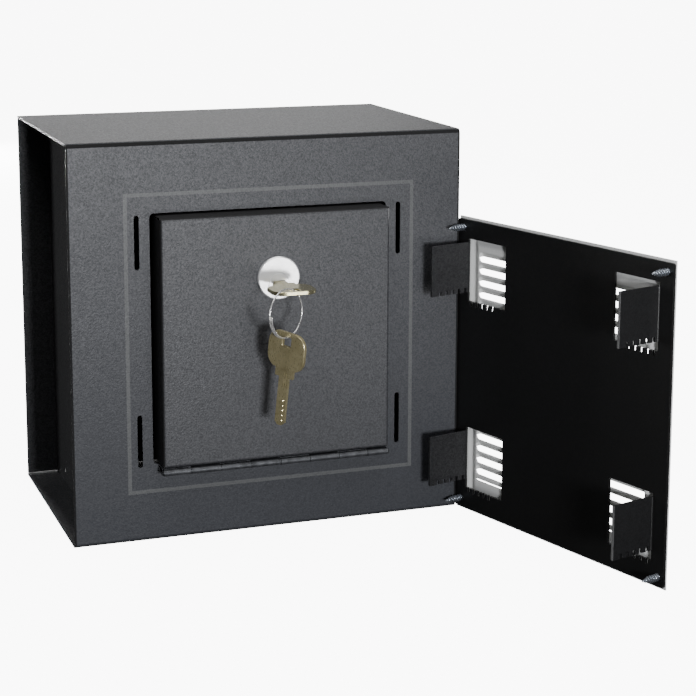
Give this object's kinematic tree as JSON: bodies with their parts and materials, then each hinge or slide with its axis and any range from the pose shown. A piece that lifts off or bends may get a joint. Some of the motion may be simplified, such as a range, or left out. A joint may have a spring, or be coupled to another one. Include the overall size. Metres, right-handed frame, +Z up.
{
  "type": "wall safe",
  "caption": "Folded steel wall safe with a drop-down door on a piano hinge, a cam lock with keys on a ring, and a louvred vent cover taken off beside it.",
  "frame": {"origin": "centre of the safe body's underside", "axes": "+Z up, +Y from the door into the safe, +X to the right of someone who faces the door"},
  "size_m": [0.3143, 0.3512, 0.254],
  "materials": {
    "charcoal_paint": "fine textured powder coat, satin",
    "black_paint": "satin black paint",
    "white_paint": "satin white paint",
    "zinc_plated_steel": "bright zinc plate",
    "dulled_steel": "dull grey steel",
    "chrome": "polished",
    "olive_brass": "worn, slightly olive",
    "zinc": "bright zinc plate"
  },
  "bodies": {
    "safe": {"casing_wrap": "charcoal_paint", "back_plate": "charcoal_paint", "left_wall": "charcoal_paint", "right_wall": "charcoal_paint", "strike_bracket": "zinc_plated_steel", "hinge_body_leaf": "dulled_steel", "hinge_pin": "zinc_plated_steel"},
    "door": {"door_panel": "charcoal_paint", "hinge_door_leaf": "dulled_steel", "lock_housing": "chrome", "lock_washer": "zinc_plated_steel", "lock_nut": "zinc_plated_steel", "driver_pin_1": "olive_brass", "driver_pin_2": "olive_brass", "driver_pin_3": "olive_brass", "driver_pin_4": "olive_brass", "driver_pin_5": "olive_brass", "pin_spring_1": "zinc_plated_steel", "pin_spring_2": "zinc_plated_steel", "pin_spring_3": "zinc_plated_steel", "pin_spring_4": "zinc_plated_steel", "pin_spring_5": "zinc_plated_steel"},
    "lock": {"lock_plug": "chrome", "key_pin_1": "olive_brass", "key_pin_2": "olive_brass", "key_pin_3": "olive_brass", "key_pin_4": "olive_brass", "key_pin_5": "olive_brass", "lock_cam": "zinc_plated_steel", "cam_washer": "zinc_plated_steel", "cam_screw": "zinc_plated_steel"},
    "lock_key": {"key": "olive_brass"},
    "ring": {"key_ring": "chrome"},
    "hanging_key": {"spare_key": "olive_brass"},
    "cover": {"vent_grille": "white_paint", "hook_plate": "black_paint", "cover_screw_top_left": "zinc", "cover_screw_top_right": "zinc", "cover_screw_bottom_left": "zinc", "cover_screw_bottom_right": "zinc"}
  },
  "joints": [
    {"name": "door_swing", "type": "hinge", "parent": "safe", "child": "door", "pos_m": [0, -0.0958, 0.0476], "axis": [1, 0, 0], "range_deg": [0, 85]},
    {"name": "lock_turn", "type": "hinge", "parent": "door", "child": "lock", "pos_m": [0, -0.0825, 0.1637], "axis": [0, 1, 0], "range_deg": [-90, 0]},
    {"name": "key_slide", "type": "slide", "parent": "lock", "child": "lock_key", "axis": [0, 1, 0], "range_m": [-0.03, 0]},
    {"name": "ring_hang", "type": "hinge", "parent": "lock_key", "child": "ring", "pos_m": [0, -0.1308, 0.1647], "axis": [0, 1, 0], "range_deg": [0, 90]},
    {"name": "spare_key_swing", "type": "hinge", "parent": "ring", "child": "hanging_key", "pos_m": [-0.0073, -0.13554, 0.1377], "axis": [-0.8387, -0.5446, 0], "range_deg": [-25, 25]},
    {"name": "cover_lift", "type": "slide", "parent": "safe", "child": "cover", "axis": [0, 0, 1], "range_m": [0, 0.27]}
  ],
  "couplings": [
    {"joint": "ring_hang", "follows": "lock_turn", "ratio": -1}
  ]
}
